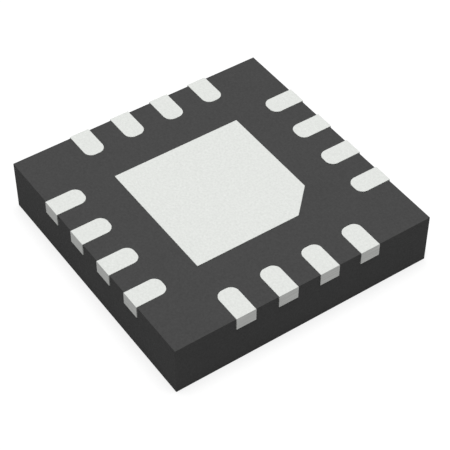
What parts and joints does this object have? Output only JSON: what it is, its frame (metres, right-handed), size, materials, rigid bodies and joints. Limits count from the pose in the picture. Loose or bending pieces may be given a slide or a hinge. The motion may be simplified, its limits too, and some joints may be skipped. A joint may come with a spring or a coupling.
{
  "type": "qfn chip",
  "caption": "Square surface-mount chip package with flat solder terminals round a chamfered exposed pad, lying on its back.",
  "frame": {"origin": "centre of the package's outline, on the plane of the marked face", "axes": "+Z from the marked face to the terminals; +X and +Y square to the sides, so that terminal 1 and the exposed pad's chamfer are at the +X +Y corner"},
  "size_m": [0.004, 0.004, 0.0008],
  "materials": {
    "moulding_compound": "matte black epoxy moulding compound, sawn sides",
    "tinned_copper": "matte tin plating on copper alloy",
    "die_adhesive": "silver-filled epoxy",
    "silicon": "polished silicon",
    "gold_wire": "drawn gold wire"
  },
  "bodies": {
    "root": {"mould_body": "moulding_compound", "die_paddle": "tinned_copper", "lead_01": "tinned_copper", "lead_02": "tinned_copper", "lead_03": "tinned_copper", "lead_04": "tinned_copper", "lead_05": "tinned_copper", "lead_06": "tinned_copper", "lead_07": "tinned_copper", "lead_08": "tinned_copper", "lead_09": "tinned_copper", "lead_10": "tinned_copper", "lead_11": "tinned_copper", "lead_12": "tinned_copper", "lead_13": "tinned_copper", "lead_14": "tinned_copper", "lead_15": "tinned_copper", "lead_16": "tinned_copper", "die_attach": "die_adhesive", "silicon_die": "silicon", "bond_wire_01": "gold_wire", "bond_wire_02": "gold_wire", "bond_wire_03": "gold_wire", "bond_wire_04": "gold_wire", "bond_wire_05": "gold_wire", "bond_wire_06": "gold_wire", "bond_wire_07": "gold_wire", "bond_wire_08": "gold_wire", "bond_wire_09": "gold_wire", "bond_wire_10": "gold_wire", "bond_wire_11": "gold_wire", "bond_wire_12": "gold_wire", "bond_wire_13": "gold_wire", "bond_wire_14": "gold_wire", "bond_wire_15": "gold_wire", "bond_wire_16": "gold_wire"}
  },
  "joints": []
}
